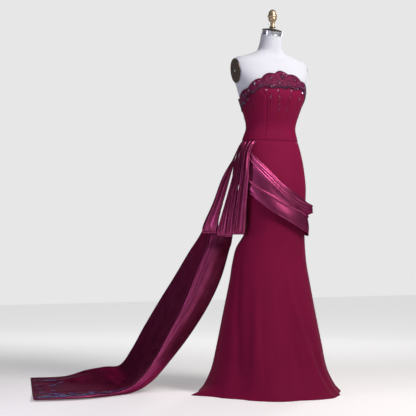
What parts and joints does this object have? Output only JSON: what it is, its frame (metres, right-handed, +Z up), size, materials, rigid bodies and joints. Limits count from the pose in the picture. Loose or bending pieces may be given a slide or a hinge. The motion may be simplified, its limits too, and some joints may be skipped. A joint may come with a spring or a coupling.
{
  "type": "strapless evening gown on a limbless dress form",
  "caption": "Strapless burgundy evening gown with a scalloped beaded neckline, satin hip drape, hip loops and a long satin train, on a limbless dress form with a stand",
  "frame": {"origin": "centre of the flat underside of the stand's base, on the floor", "axes": "+Z up along the stand's pole, the wearer faces -Y and the wearer's left is +X"},
  "size_m": [1.2745, 1.1858, 1.592],
  "materials": {
    "crepe": "matt wool crepe",
    "satin": "lustrous duchess satin",
    "lace": "corded lace",
    "linen": "matt white cover",
    "bronze": "dark brushed",
    "chrome": "polished",
    "dark_wood": "satin varnish",
    "brass": "soft polished",
    "iron": "black paint",
    "painted_metal": "burgundy enamel"
  },
  "bodies": {
    "gown": {"bodice_front_centre": "crepe", "bodice_side_front_r": "crepe", "bodice_side_front_l": "crepe", "bodice_back_r": "crepe", "bodice_back_l": "crepe", "lace_band": "lace", "skirt_front": "crepe", "skirt_back_l": "crepe", "skirt_back_r": "crepe", "drape_front": "satin", "drape_back": "satin", "hip_loop_1": "satin", "hip_loop_2": "satin", "hip_loop_3": "satin", "hip_loop_4": "satin", "train": "satin", "form_torso": "linen", "form_arm_plate_r": "bronze", "form_arm_plate_l": "bronze", "form_arm_screw_r": "chrome", "form_arm_screw_l": "chrome", "form_neck_band": "chrome", "form_neck_cap": "dark_wood", "form_finial": "brass", "form_set_screw": "chrome", "stand_pole": "iron", "stand_base": "iron", "zip_slider": "painted_metal"},
    "zip_pull": {"zip_pull": "painted_metal"}
  },
  "joints": [
    {"name": "zip_pull_swing", "type": "hinge", "parent": "gown", "child": "zip_pull", "pos_m": [0, 0.09467, 1.189], "axis": [1, 0, 0], "range_deg": [0, 150]}
  ]
}
